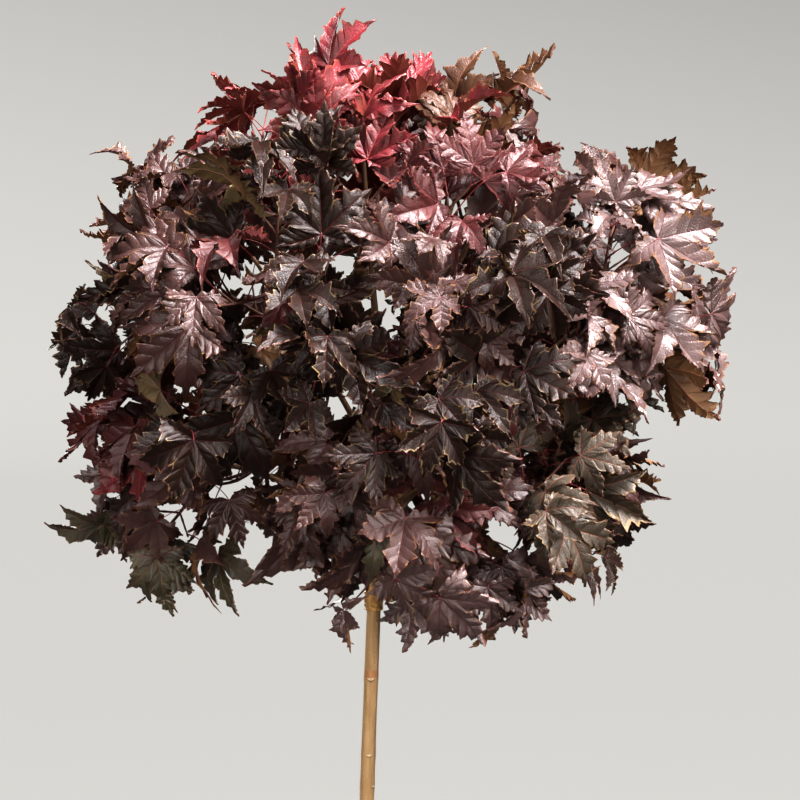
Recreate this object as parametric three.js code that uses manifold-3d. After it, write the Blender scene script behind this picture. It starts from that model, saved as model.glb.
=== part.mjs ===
// Young purple-leaved maple grown as a small standard: a slim bare stem with a callused graft,
// boughs that fan out above the graft, and a round head of five-lobed leaves on long stalks.
// Millimetres, Z up, ground level at z = 0, the front of the tree facing -Y.
import * as THREE from "three";
import { mergeVertices } from "three/addons/utils/BufferGeometryUtils.js";
import Module from "manifold-3d";

const wasm = await Module();
wasm.setup();

// Trunk: a bare stem up to the graft and a short leader above it.
const GRAFT_HEIGHT = 1100;
const LEADER_LENGTH = 235;
const LEADER_TIP = GRAFT_HEIGHT + LEADER_LENGTH;
const FLARE_RADIUS = 16;
const FLARE_HEIGHT = 75;
const FOOT_RADIUS = 9.6;
const STEM_RADIUS = 8.3;
const CALLUS_RADIUS = 11;
const CALLUS_HALF_HEIGHT = 15;
const LEADER_BASE_RADIUS = 9.2;
const LEADER_TIP_RADIUS = 5.2;
const STEM_LEAN = 30;
const TRUNK_SIDES = 14;
const TRUNK_RINGS = 22;

// Clearance left between separate pieces.
const GAP = 0.3;

// Head of the tree: its middle and the limbs that feed each mass of leaves.
const CROWN_MIDDLE = new THREE.Vector3(58, 0, 1400);
const BOUGH_SHARE = 0.5;
const TOP_BOUGH_DROP = 14;
const LIMB_TIP_RADIUS = 2.1;
const BOUGH_SIDES = 6;
const BOUGH_RINGS = 3;
const STEM_SIDES = 4;
const STEM_RINGS = 2;

// Masses of leaves in rings around the middle. Reach is from the middle to the end of the mass's stem;
// azimuth 0 is the right seen from the front and 90 is the back.
const RINGS = [
  {
    ring: "lower",
    sides: ["right", "back_right", "back_left", "left", "front_left", "front_right"],
    azimuth: [0, 60, 110, 205, 265, 310],
    elevation: [-35, -50, -40, -25, -40, -50],
    reach: [230, 250, 260, 310, 250, 250],
    boughHeight: 24,
    boughStep: 11,
    arch: 95,
    limbRadius: 4.8,
  },
  {
    ring: "middle",
    sides: ["right", "back_right", "back_left", "left", "front_left", "front_right"],
    azimuth: [-10, 60, 105, 180, 215, 275],
    elevation: [15, 5, 0, 15, -5, 0],
    reach: [300, 310, 290, 290, 250, 260],
    boughHeight: 92,
    boughStep: 9,
    arch: 45,
    limbRadius: 4.4,
  },
  {
    ring: "upper",
    sides: ["right", "back", "left", "front_left", "front_right"],
    azimuth: [20, 70, 155, 230, 295],
    elevation: [20, 40, 40, 25, 35],
    reach: [350, 280, 320, 280, 240],
    boughHeight: 150,
    boughStep: 11,
    arch: 15,
    limbRadius: 4.0,
  },
  {
    ring: "top",
    sides: ["right", "left"],
    azimuth: [30, 210],
    elevation: [60, 80],
    reach: [230, 300],
    boughHeight: 208,
    boughStep: 26,
    arch: -10,
    limbRadius: 3.6,
  },
];

// Gaps where the sky shows through the head, or the graft under it, when it is seen from the sight
// point: places on the plane through the stem and the radius that leaves keep out of.
const SIGHT_POINT = new THREE.Vector3(61, -3590, 1655);
const SKY_GAPS = [
  { x: -100, z: 1670, radius: 12 },
  { x: 125, z: 1575, radius: 10 },
  { x: 325, z: 1515, radius: 8 },
  { x: -105, z: 1510, radius: 6 },
  { x: -5, z: 1500, radius: 10 },
  { x: -155, z: 1480, radius: 12 },
  { x: 30, z: 1450, radius: 6 },
  { x: -275, z: 1415, radius: 8 },
  { x: -120, z: 1410, radius: 6 },
  { x: 155, z: 1365, radius: 6 },
  { x: -5, z: 1330, radius: 6 },
  { x: 210, z: 1260, radius: 6 },
  { x: -135, z: 1245, radius: 8 },
  { x: 70, z: 1210, radius: 7 },
  { x: -205, z: 1200, radius: 10 },
  { x: 185, z: 1175, radius: 11 },
  { x: -100, z: 1165, radius: 10 },
  { x: 30, z: 1100, radius: 10 },
  { x: 30, z: 1075, radius: 9 },
];

// Twigs and leaves.
const SEED = 2379;
const STEM_NODES = [0.28, 0.68];
const STEM_LEAF_NODES = [0.5, 0.985];
const TWIG_LENGTH = [100, 150];
const TWIG_RADIUS = [2.6, 1.9];
const TWIG_NODES = [0.38, 0.7, 1.0];
const TWIG_SIDES = 3;
const LEAF_LENGTH = [66, 104];
const TOP_LEAF_LENGTH = [84, 118];
const STALK_SHARE = [0.42, 0.78];
const STALK_ROOT_RADIUS = 0.45;
const LEAF_THICKNESS_SHARE = 0.042;
const LEAF_TRIES = 14;
const ROOT_LENGTH = 7;
const SPACE_SLACK = 0.09;
const LEAF_MARGIN = 122;
const LEAST_RUN_ON = 0.2;
const LIGHT_PULL = 0.65;
const BLADE_TURN = 0.75;

// Lobes of a leaf: angle from the middle vein in degrees and length against the middle lobe.
// Tips and the notches between them follow each other from one hind lobe to the other.
const LEAF_OUTLINE = [
  { kind: "tip", angle: 108, length: 0.58 },
  { kind: "notch", angle: 76, length: 0.46 },
  { kind: "tip", angle: 48, length: 0.88 },
  { kind: "notch", angle: 24, length: 0.56 },
  { kind: "tip", angle: 0, length: 1.0 },
  { kind: "notch", angle: -24, length: 0.56 },
  { kind: "tip", angle: -48, length: 0.88 },
  { kind: "notch", angle: -76, length: 0.46 },
  { kind: "tip", angle: -108, length: 0.58 },
];

const UP = new THREE.Vector3(0, 0, 1);
const FRONT = new THREE.Vector3(0, -1, 0);

// Repeatable random numbers, one stream for each twig and each leaf.
function stream(...keys) {
  let state = SEED;
  for (const key of keys) {
    state = Math.imul(state ^ (key + 1), 0x9e3779b1) >>> 0;
    state = (state ^ (state >>> 15)) >>> 0;
  }
  return () => {
    state = (state + 0x6d2b79f5) >>> 0;
    let bits = Math.imul(state ^ (state >>> 15), 1 | state);
    bits = (bits + Math.imul(bits ^ (bits >>> 7), 61 | bits)) ^ bits;
    return ((bits ^ (bits >>> 14)) >>> 0) / 4294967296;
  };
}

const between = (random, range) => range[0] + (range[1] - range[0]) * random();
const spread = (random, size) => size * (2 * random() - 1);
const mixed = (...pairs) => pairs.reduce((sum, [v, k]) => sum.addScaledVector(v, k), new THREE.Vector3());

function jitter(random, size) {
  return new THREE.Vector3(spread(random, size), spread(random, size), spread(random, size));
}

function direction(azimuth, elevation) {
  const turn = THREE.MathUtils.degToRad(azimuth);
  const rise = THREE.MathUtils.degToRad(elevation);
  return new THREE.Vector3(Math.cos(rise) * Math.cos(turn), Math.cos(rise) * Math.sin(turn), Math.sin(rise));
}

function solidOf(geometry) {
  geometry.deleteAttribute("normal");
  geometry.deleteAttribute("uv");
  const joined = mergeVertices(geometry, 1e-4);
  return new wasm.Manifold(
    new wasm.Mesh({
      numProp: 3,
      vertProperties: new Float32Array(joined.attributes.position.array),
      triVerts: new Uint32Array(joined.index.array),
    }),
  );
}

function geometryOf(solid) {
  const mesh = solid.getMesh();
  const geometry = new THREE.BufferGeometry();
  geometry.setAttribute("position", new THREE.BufferAttribute(mesh.vertProperties, 3));
  geometry.setIndex(new THREE.BufferAttribute(mesh.triVerts, 1));
  geometry.computeVertexNormals();
  return geometry;
}

// Bends a unit cylinder so that its rings follow a centre line with a radius of their own.
function limbSolid(sides, rings, centreAt, slopeAt, radiusAt) {
  const geometry = new THREE.CylinderGeometry(1, 1, 1, sides, rings);
  const points = geometry.attributes.position;
  for (let i = 0; i < points.count; i += 1) {
    const share = points.getY(i) + 0.5;
    const slope = slopeAt(share);
    const reference = Math.abs(slope.z) < 0.95 ? UP : new THREE.Vector3(1, 0, 0);
    const across = slope.clone().cross(reference).normalize();
    const over = across.clone().cross(slope);
    const radius = radiusAt(share);
    const place = mixed(
      [centreAt(share), 1],
      [across, radius * points.getX(i)],
      [over, radius * points.getZ(i)],
    );
    points.setXYZ(i, place.x, place.y, place.z);
  }
  return solidOf(geometry);
}

// Trunk centre line and radius against height.
function trunkCentre(height) {
  const rise = Math.min(height / GRAFT_HEIGHT, 1.25);
  return new THREE.Vector3(STEM_LEAN * rise * (0.55 + 0.45 * rise), 0, height);
}

function trunkRadius(height) {
  if (height > GRAFT_HEIGHT) {
    const share = (height - GRAFT_HEIGHT) / LEADER_LENGTH;
    const leader = THREE.MathUtils.lerp(LEADER_BASE_RADIUS, LEADER_TIP_RADIUS, share);
    return leader + callusSwelling(height, CALLUS_RADIUS - LEADER_BASE_RADIUS);
  }
  const share = height / GRAFT_HEIGHT;
  const stem = THREE.MathUtils.lerp(FOOT_RADIUS, STEM_RADIUS, share);
  const flare = Math.max(0, 1 - height / FLARE_HEIGHT);
  return stem + (FLARE_RADIUS - stem) * flare ** 2.4 + callusSwelling(height, CALLUS_RADIUS - STEM_RADIUS);
}

function callusSwelling(height, size) {
  const away = Math.abs(height - GRAFT_HEIGHT) / CALLUS_HALF_HEIGHT;
  return away < 1 ? size * (1 - away * away) : 0;
}

// Ring heights: close together in the flare and round the graft.
function trunkHeight(share) {
  const stops = [0, 8, 18, 30, 46, 75, 280, 520, 760, 980];
  const step = CALLUS_HALF_HEIGHT / 2;
  for (let i = -2; i <= 2; i += 1) {
    stops.push(GRAFT_HEIGHT + i * step);
  }
  const rest = TRUNK_RINGS + 1 - stops.length;
  for (let i = 1; i <= rest; i += 1) {
    stops.push(GRAFT_HEIGHT + 2 * step + ((LEADER_LENGTH - 2 * step) * i) / rest);
  }
  return stops[Math.round(share * TRUNK_RINGS)];
}

function trunkSolid(extra) {
  return limbSolid(
    TRUNK_SIDES,
    TRUNK_RINGS,
    (share) => trunkCentre(trunkHeight(share)),
    () => UP,
    (share) => trunkRadius(trunkHeight(share)) + extra,
  );
}

// One curved limb from the trunk's middle to the end of a mass's stem.
function limbPath(start, bend, end) {
  const curve = new THREE.QuadraticBezierCurve3(start, bend, end);
  const first = bend.clone().sub(start).multiplyScalar(2);
  const last = end.clone().sub(bend).multiplyScalar(2);
  return {
    at: (t) => curve.getPoint(t),
    speed: (t) => mixed([first, 1 - t], [last, t]),
    slope: (t) => mixed([first, 1 - t], [last, t]).normalize(),
  };
}

function massList() {
  const masses = [];
  for (const ring of RINGS) {
    ring.sides.forEach((side, i) => {
      const outward = direction(ring.azimuth[i], ring.elevation[i]);
      const count = ring.sides.length;
      const order = ((2 * i) % count) + (count % 2 === 0 && i >= count / 2 ? 1 : 0);
      const onLeader = ring.ring === "top" && side === "left";
      const foot = GRAFT_HEIGHT + ring.boughHeight + ring.boughStep * order;
      const start = trunkCentre(onLeader ? LEADER_TIP : Math.min(foot, LEADER_TIP - TOP_BOUGH_DROP));
      const end = mixed([CROWN_MIDDLE, 1], [outward, ring.reach[i]]);
      const bend = mixed([start, 0.52], [end, 0.48], [UP, ring.arch]);
      masses.push({
        index: masses.length,
        name: `${ring.ring}_${side}`,
        top: ring.ring === "top",
        onLeader,
        outward,
        reach: ring.reach[i],
        path: limbPath(start, bend, end),
        radius: ring.limbRadius,
      });
    });
  }
  return masses;
}

const limbRadius = (mass, t) => THREE.MathUtils.lerp(mass.radius, LIMB_TIP_RADIUS, t);

function boughSolid(mass) {
  const at = (share) => share * BOUGH_SHARE;
  return limbSolid(
    BOUGH_SIDES,
    BOUGH_RINGS,
    (share) => mass.path.at(at(share)),
    (share) => mass.path.slope(at(share)),
    (share) => limbRadius(mass, at(share)),
  );
}

// A mass's stem goes on from its bough's tip, or from the leader's tip, a hair's breadth clear of it.
function stemStart(mass) {
  const tip = mass.onLeader ? 0 : BOUGH_SHARE;
  return tip + GAP / mass.path.speed(tip).length();
}

function stemSolid(mass) {
  const first = stemStart(mass);
  const at = (share) => first + (1 - first) * share;
  const base = mass.onLeader ? LEADER_TIP_RADIUS : limbRadius(mass, BOUGH_SHARE);
  return limbSolid(
    STEM_SIDES,
    STEM_RINGS,
    (share) => mass.path.at(at(share)),
    (share) => (mass.onLeader && share === 0 ? UP : mass.path.slope(at(share))),
    (share) => THREE.MathUtils.lerp(base, LIMB_TIP_RADIUS, share),
  );
}

// A place on the straight runs between the stem's rings, where side growth can take root.
function stemPlace(mass, share) {
  const first = stemStart(mass);
  const run = Math.min(Math.floor(share * STEM_RINGS), STEM_RINGS - 1);
  const from = mass.path.at(first + ((1 - first) * run) / STEM_RINGS);
  const to = mass.path.at(first + ((1 - first) * (run + 1)) / STEM_RINGS);
  return from.lerp(to, share * STEM_RINGS - run);
}

function stemSlope(mass, share) {
  const first = stemStart(mass);
  return mass.path.slope(first + (1 - first) * share);
}

// Two directions square to a limb; pairs of side growth stand crosswise from node to node.
function sideways(slope, quarter) {
  const across = slope.clone().cross(UP).normalize();
  const over = across.clone().cross(slope);
  return mixed([across, Math.cos(quarter)], [over, Math.sin(quarter)]);
}

// Side twigs in opposite pairs along the stem.
function twigList(mass) {
  const twigs = [];
  STEM_NODES.forEach((share, node) => {
    for (const hand of [1, -1]) {
      const random = stream(mass.index, 100 + twigs.length);
      const root = stemPlace(mass, share);
      const slope = stemSlope(mass, share);
      const side = sideways(slope, (node * Math.PI) / 2 + spread(random, 0.4)).multiplyScalar(hand);
      const length = between(random, TWIG_LENGTH) * (1.12 - 0.4 * share);
      const aim = mixed(
        [slope, 0.62],
        [side, 0.85],
        [mass.outward, 0.2],
        [jitter(random, 0.16), 1],
      ).normalize();
      twigs.push({ root, aim, length, key: twigs.length });
    }
  });
  return twigs;
}

// Growth without the part next to its root, which lies inside the limb that bears it.
function twigClearOfRoot(twig) {
  const root = mixed([twig.root, 1], [twig.aim, ROOT_LENGTH]);
  return { ...twig, root, length: twig.length - ROOT_LENGTH };
}

function leafClearOfRoot(pose) {
  return { ...pose, root: mixed([pose.root, 1], [pose.stalkAim, ROOT_LENGTH]) };
}

function twigSolid(twig) {
  return limbSolid(
    TWIG_SIDES,
    1,
    (share) => mixed([twig.root, 1], [twig.aim, twig.length * share]),
    () => twig.aim,
    (share) => THREE.MathUtils.lerp(TWIG_RADIUS[0], TWIG_RADIUS[1], share),
  );
}

// Places where leaves stand: opposite pairs along every side twig and at the end of the stem.
function leafSlots(mass, twigs) {
  const slots = [];
  const addPair = (key, root, slope, quarter, size) => {
    for (const hand of [1, -1]) {
      const side = sideways(slope, quarter).multiplyScalar(hand);
      slots.push({ key: 10 * key + hand, root, slope, side, size });
    }
  };
  twigs.forEach((twig) => {
    TWIG_NODES.forEach((share, node) => {
      const root = mixed([twig.root, 1], [twig.aim, (twig.length - 2) * share]);
      addPair(10 * twig.key + node, root, twig.aim, (node * Math.PI) / 2, 1.04 - 0.1 * node);
    });
  });
  STEM_LEAF_NODES.forEach((share, node) => {
    const quarter = (node * Math.PI) / 2 + 0.5;
    addPair(90 + node, stemPlace(mass, share), stemSlope(mass, share), quarter, 1.06 - 0.2 * node);
  });
  return slots;
}

// One leaf: where its stalk starts, where the blade starts, and how the blade lies.
// Blades turn their upper side outward, up and to the light at the front. Leaves of the top stand up;
// the others hang.
function leafPose(mass, slot, attempt) {
  const random = stream(mass.index, 1000 + slot.key, attempt);
  const length = between(random, mass.top ? TOP_LEAF_LENGTH : LEAF_LENGTH) * slot.size;
  const stalk = length * between(random, STALK_SHARE);
  const looseness = 0.24 + 0.09 * attempt;
  const stalkAim = mixed(
    [slot.side, 0.72],
    [slot.slope, 0.5],
    [mass.outward, 0.3],
    [UP, 0.18],
    [jitter(random, looseness), 1],
  ).normalize();
  const base = mixed([slot.root, 1], [stalkAim, stalk]);
  const outward = base.clone().sub(CROWN_MIDDLE).normalize();
  const turned = THREE.MathUtils.clamp(0.5 - outward.y, 0, 1);
  const facing = mixed(
    [outward, 0.6],
    [UP, mass.top ? 0.1 : 0.42],
    [FRONT, LIGHT_PULL * turned],
    [jitter(random, looseness * 1.7), 1],
  ).normalize();
  const hang = mass.top ? -0.6 : 0.5 - 0.2 * mass.outward.z;
  const along = mixed(
    [stalkAim, 0.6],
    [outward, 0.3],
    [UP, -hang],
    [jitter(random, looseness), 1],
  );
  along.addScaledVector(facing, -BLADE_TURN * along.dot(facing)).normalize();
  const normal = facing.addScaledVector(along, -facing.dot(along)).normalize();
  return {
    root: slot.root,
    base,
    stalkAim,
    along,
    normal,
    across: along.clone().cross(normal),
    length,
    droop: between(random, [0.04, 0.3]),
    crease: between(random, [0.05, 0.13]),
    fold: between(random, [-0.06, 0.24]),
    opening: between(random, [0.86, 1.06]),
  };
}

function leafPoint(pose, side, forward, lift) {
  return mixed([pose.base, 1], [pose.across, side], [pose.along, forward], [pose.normal, lift]);
}

function leafOutline(pose) {
  return LEAF_OUTLINE.map(({ kind, angle, length }) => {
    const turn = THREE.MathUtils.degToRad(angle * pose.opening);
    const pleat = kind === "notch" ? pose.crease * length : 0;
    const lift = pleat + pose.fold * length * Math.abs(Math.sin(turn)) - pose.droop * length * length;
    const reach = pose.length * length;
    return leafPoint(pose, -reach * Math.sin(turn), reach * Math.cos(turn), pose.length * lift);
  });
}

// Leaf: an upper and a lower fan that share a lobed outline, thickest where they run into the stalk,
// which goes on from that three-cornered joint to its root inside the twig.
function leafSolid(pose) {
  const half = (pose.length * LEAF_THICKNESS_SHARE) / 2;
  const joint = (place, size) => [
    mixed([place, 1], [pose.normal, size]),
    mixed([place, 1], [pose.normal, -size], [pose.across, -size]),
    mixed([place, 1], [pose.normal, -size], [pose.across, size]),
  ];
  const points = [...joint(pose.base, half), ...joint(pose.root, STALK_ROOT_RADIUS)];
  const first = points.length;
  points.push(...leafOutline(pose));
  const last = points.length - 1;
  const middle = (first + last) / 2;
  const faces = [0, first, 1, 0, 2, last, 1, middle, 2, 3, 4, 5];
  for (let i = first; i < last; i += 1) {
    faces.push(0, i + 1, i, i < middle ? 1 : 2, i, i + 1);
  }
  for (const [from, to] of [[0, 1], [1, 2], [2, 0]]) {
    faces.push(from, to, to + 3, from, to + 3, from + 3);
  }
  const geometry = new THREE.BufferGeometry();
  geometry.setAttribute("position", new THREE.Float32BufferAttribute(points.flatMap((p) => p.toArray()), 3));
  geometry.setIndex(faces);
  return solidOf(geometry);
}

// Pieces already in place, with their boxes, for keeping new growth clear of them.
const placed = [];

function place(solid) {
  const box = solid.boundingBox();
  placed.push({ solid, low: box.min, high: box.max });
}

function isClear(solid) {
  const { min, max } = solid.boundingBox();
  return placed.every(({ solid: other, low, high }) => {
    const apart = [0, 1, 2].some((axis) => min[axis] > high[axis] + GAP || max[axis] < low[axis] - GAP);
    return apart || solid.minGap(other, 2 * GAP) > GAP;
  });
}

// A leaf keeps to the space round its own mass, and its blade goes on from the stalk
// without doubling back.
function inSpace(mass, masses, pose) {
  const heart = leafPoint(pose, 0, pose.length * 0.45, 0).sub(CROWN_MIDDLE);
  const tip = leafPoint(pose, 0, pose.length, -pose.droop * pose.length).sub(CROWN_MIDDLE);
  const toward = heart.clone().normalize();
  const own = toward.dot(mass.outward);
  const nearest = Math.max(...masses.map((other) => toward.dot(other.outward)));
  const kept = own >= nearest - SPACE_SLACK && tip.length() <= mass.reach + LEAF_MARGIN;
  return kept && pose.along.dot(pose.stalkAim) > LEAST_RUN_ON;
}

// Where a point seems to lie on the plane through the stem, looked at from the sight point.
function seenAt(point) {
  const share = SIGHT_POINT.y / (SIGHT_POINT.y - point.y);
  return SIGHT_POINT.clone().lerp(point, share);
}

function coversGap(pose) {
  const base = seenAt(pose.base);
  const rim = leafOutline(pose).map(seenAt);
  return SKY_GAPS.some(({ x, z, radius }) => {
    const middle = new THREE.Vector3(x, 0, z);
    return rim.slice(1).some((point, i) => {
      const sector = new THREE.Triangle(base, rim[i], point);
      return sector.closestPointToPoint(middle, new THREE.Vector3()).distanceTo(middle) < radius;
    });
  });
}

const group = new THREE.Group();
group.name = "norway_maple";

function addPiece(name, solid, colour, roughness) {
  const material = new THREE.MeshStandardMaterial({ color: colour, roughness, metalness: 0 });
  const piece = new THREE.Mesh(geometryOf(solid), material);
  piece.name = name;
  group.add(piece);
}

const BARK_COLOUR = 0xa4845a;
const BOUGH_COLOUR = 0x8a6a4c;
const LEAF_COLOUR = 0x46282d;
const TOP_LEAF_COLOUR = 0x84303a;

const trunk = trunkSolid(0);
const trunkCut = trunkSolid(GAP);
addPiece("trunk", trunk, BARK_COLOUR, 0.75);
place(trunk);

const masses = massList();
for (const mass of masses) {
  if (!mass.onLeader) {
    const cut = boughSolid(mass).subtract(trunkCut).decompose();
    const bough = cut.reduce((best, scrap) => (scrap.volume() > best.volume() ? scrap : best));
    addPiece(`bough_${mass.name}`, bough, BOUGH_COLOUR, 0.7);
    place(bough);
  }
}
for (const mass of masses) {
  mass.stem = stemSolid(mass);
  place(mass.stem);
}
for (const mass of masses) {
  mass.pieces = [mass.stem];
  mass.twigs = twigList(mass).filter((twig) => {
    const solid = twigSolid(twig);
    const kept = isClear(twigSolid(twigClearOfRoot(twig)));
    if (kept) {
      mass.pieces.push(solid);
      place(solid);
    }
    return kept;
  });
}
for (const mass of masses) {
  for (const slot of leafSlots(mass, mass.twigs)) {
    for (let attempt = 0; attempt < LEAF_TRIES; attempt += 1) {
      const pose = leafPose(mass, slot, attempt);
      if (inSpace(mass, masses, pose) && !coversGap(pose)) {
        const leaf = leafSolid(pose);
        if (isClear(leafSolid(leafClearOfRoot(pose)))) {
          mass.pieces.push(leaf);
          place(leaf);
          break;
        }
      }
    }
  }
  const fused = wasm.Manifold.union(mass.pieces);
  addPiece(`leaves_${mass.name}`, fused, mass.top ? TOP_LEAF_COLOUR : LEAF_COLOUR, 0.42);
}

export default group;
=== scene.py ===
import math

import bpy
import numpy as np
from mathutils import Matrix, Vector, geometry, kdtree


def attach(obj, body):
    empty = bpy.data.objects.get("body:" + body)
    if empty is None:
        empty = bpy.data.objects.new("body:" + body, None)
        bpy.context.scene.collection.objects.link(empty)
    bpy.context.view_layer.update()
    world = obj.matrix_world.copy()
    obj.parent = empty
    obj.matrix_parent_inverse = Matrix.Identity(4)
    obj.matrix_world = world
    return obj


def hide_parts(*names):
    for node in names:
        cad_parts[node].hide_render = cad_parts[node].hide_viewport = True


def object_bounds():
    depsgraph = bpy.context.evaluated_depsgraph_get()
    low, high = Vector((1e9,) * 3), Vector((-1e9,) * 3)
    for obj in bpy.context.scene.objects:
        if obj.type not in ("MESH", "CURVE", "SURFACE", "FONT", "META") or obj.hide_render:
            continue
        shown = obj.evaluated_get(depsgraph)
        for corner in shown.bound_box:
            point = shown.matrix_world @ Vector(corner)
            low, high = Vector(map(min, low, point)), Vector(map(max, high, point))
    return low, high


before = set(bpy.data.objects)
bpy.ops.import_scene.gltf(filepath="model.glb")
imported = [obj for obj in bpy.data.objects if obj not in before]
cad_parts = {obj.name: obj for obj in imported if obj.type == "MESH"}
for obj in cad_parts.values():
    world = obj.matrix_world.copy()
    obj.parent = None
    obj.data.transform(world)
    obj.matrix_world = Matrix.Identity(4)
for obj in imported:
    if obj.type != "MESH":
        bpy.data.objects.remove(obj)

cad_low, cad_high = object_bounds()
scene = bpy.context.scene

# Sizes of the tree in millimetres, as in the part's source.
GRAFT_HEIGHT = 1100
LEADER_LENGTH = 235
FLARE_RADIUS = 16
FLARE_HEIGHT = 75
FOOT_RADIUS = 9.6
STEM_RADIUS = 8.3
CALLUS_RADIUS = 11
CALLUS_HALF_HEIGHT = 15
LEADER_BASE_RADIUS = 9.2
LEADER_TIP_RADIUS = 5.2
STEM_LEAN = 30
GAP = 0.3
CROWN_MIDDLE = np.array([58.0, 0.0, 1400.0])
BOUGH_SHARE = 0.5
LIMB_TIP_RADIUS = 2.1
STEM_RINGS = 2
SIX_SIDES = ["right", "back_right", "back_left", "left", "front_left", "front_right"]
RINGS = [
    {
        "ring": "lower",
        "sides": SIX_SIDES,
        "azimuth": [0, 60, 110, 205, 265, 310],
        "elevation": [-35, -50, -40, -25, -40, -50],
        "reach": [230, 250, 260, 310, 250, 250],
        "bough_height": 24, "bough_step": 11, "arch": 95, "limb_radius": 4.8,
    },
    {
        "ring": "middle",
        "sides": SIX_SIDES,
        "azimuth": [-10, 60, 105, 180, 215, 275],
        "elevation": [15, 5, 0, 15, -5, 0],
        "reach": [300, 310, 290, 290, 250, 260],
        "bough_height": 92, "bough_step": 9, "arch": 45, "limb_radius": 4.4,
    },
    {
        "ring": "upper",
        "sides": ["right", "back", "left", "front_left", "front_right"],
        "azimuth": [20, 70, 155, 230, 295],
        "elevation": [20, 40, 40, 25, 35],
        "reach": [350, 280, 320, 280, 240],
        "bough_height": 150, "bough_step": 11, "arch": 15, "limb_radius": 4.0,
    },
    {
        "ring": "top",
        "sides": ["right", "left"],
        "azimuth": [30, 210],
        "elevation": [60, 80],
        "reach": [230, 300],
        "bough_height": 208, "bough_step": 26, "arch": -10, "limb_radius": 3.6,
    },
]
SEED = 2379
STEM_NODES = [0.28, 0.68]
STEM_LEAF_NODES = [0.5, 0.985]
TWIG_LENGTH = (100, 150)
TWIG_RADIUS = (2.6, 1.9)
TWIG_NODES = [0.38, 0.7, 1.0]
LEAF_LENGTH = (66, 104)
TOP_LEAF_LENGTH = (84, 118)
STALK_SHARE = (0.42, 0.78)
LEAF_TRIES = 14
LIGHT_PULL = 0.65
BLADE_TURN = 0.75

# Gaps where the sky or the graft shows, seen from the sight point: places across and up, and radius.
SIGHT_POINT = np.array([61.0, -3590.0, 1655.0])
SKY_GAPS = [
    (-100, 1670, 12), (125, 1575, 10), (325, 1515, 8), (-105, 1510, 6), (-5, 1500, 10),
    (-155, 1480, 12), (30, 1450, 6), (-275, 1415, 8), (-120, 1410, 6), (155, 1365, 6),
    (-5, 1330, 6), (210, 1260, 6), (-135, 1245, 8), (70, 1210, 7), (-205, 1200, 10),
    (185, 1175, 11), (-100, 1165, 10), (30, 1100, 10), (30, 1075, 9),
]

# Leaf outline in shares of its length: lobes and the notches between them, as angle and length.
LOBES = [(108, 0.58), (48, 0.88), (0, 1.0), (-48, 0.88), (-108, 0.58)]
NOTCHES = [(152, 0.15), (76, 0.38), (24, 0.45), (-24, 0.45), (-76, 0.38), (-152, 0.15)]
# Margin of half a lobe from notch to tip: share of the way to the tip and width against the notch's.
MARGIN = [
    (0.0, 1.0), (0.14, 1.02), (0.24, 0.92), (0.46, 1.22), (0.5, 0.72),
    (0.7, 0.66), (0.72, 0.34), (0.86, 0.17), (1.0, 0.0),
]
INNER_ROWS = 3
LEAF_NETS = 8
LEAF_THICKNESS = 0.7
VEIN_WIDTH = 0.009
RIM_START = 0.92
VEIN_SINK = 0.35
VEIN_RIDGE = 0.7

# How far a leaf is bent, twisted, folded, pleated, curled and waved, in shares of its length.
LOBE_BEND = (-1.25, 0.8)
LOBE_TWIST = 1.1
LOBE_TROUGH = (3.5, 8.0)
PLEAT_DEPTH = (0.02, 0.042)
MARGIN_CURL = (-0.2, 0.06)
MARGIN_WAVE = (0.006, 0.02)

# Finer growth than the solids have.
SHOOT_NODES = [0.55, 0.86]
SHOOT_LENGTH = (26, 52)
SHOOT_LEAF_SIZE = (0.62, 0.84)
ROOM = 10

# Stem: ring scars, the brown one below the graft, and bud scars as height, azimuth and half width.
STEM_SIDES = 44
STEM_RING_HEIGHTS = [205, 368, 516, 652, 772, 872, 911, 1004]
RING_SWELLING, RING_HALF_HEIGHT = 0.5, 6.5
GROOVE_DEPTH, GROOVE_HALF_HEIGHT, GROOVE_OFFSET = 0.3, 1.4, 4.5
BROWN_RING = (1005, 1012)
GRAFT_CRUMBS = 170
BUD_SCARS = [
    (1002, 268, 5.0), (1002, 88, 4.6), (909, 274, 3.8), (909, 94, 4.2),
    (870, 330, 3.6), (870, 150, 4.0), (770, 262, 4.0), (770, 82, 4.4),
    (650, 350, 4.2), (650, 170, 4.0),
]
SCAR_SIDES = 16
SCAR_RISE = 1.9
# Painted shadow under each bud scar: a dark lens a little lower and larger than the scar, given as its
# drop, size and rise.
PAINTED_SHADOW_DROP, PAINTED_SHADOW_SIZE, PAINTED_SHADOW_RISE = 1.2, 1.12, 1.1

# Thickness of what the scene draws finer than the solids do.
SHOOT_RADIUS = (1.5, 1.0)
DRAWN_TWIG_RADIUS = (2.4, 1.4)
BUD_SIZE = 2.1

UP = np.array([0.0, 0.0, 1.0])
FRONT = np.array([0.0, -1.0, 0.0])
MASK = 0xFFFFFFFF
MM = 0.001

# Camera: level with the upper head and tilted down a little.
VIEW_TARGET = (0.0612, 0.0, 1.34)
VIEW_DISTANCE = 3.6
VIEW_TILT = math.radians(5)
VIEW_LENS = 135


def add_camera():
    data = bpy.data.cameras.new("front_camera")
    data.lens = VIEW_LENS
    data.sensor_width = 36
    camera = bpy.data.objects.new("front_camera", data)
    camera.location = (
        VIEW_TARGET[0],
        VIEW_TARGET[1] - VIEW_DISTANCE * math.cos(VIEW_TILT),
        VIEW_TARGET[2] + VIEW_DISTANCE * math.sin(VIEW_TILT),
    )
    camera.rotation_euler = (math.pi / 2 - VIEW_TILT, 0, 0)
    scene.collection.objects.link(camera)
    scene.camera = camera


add_camera()


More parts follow.
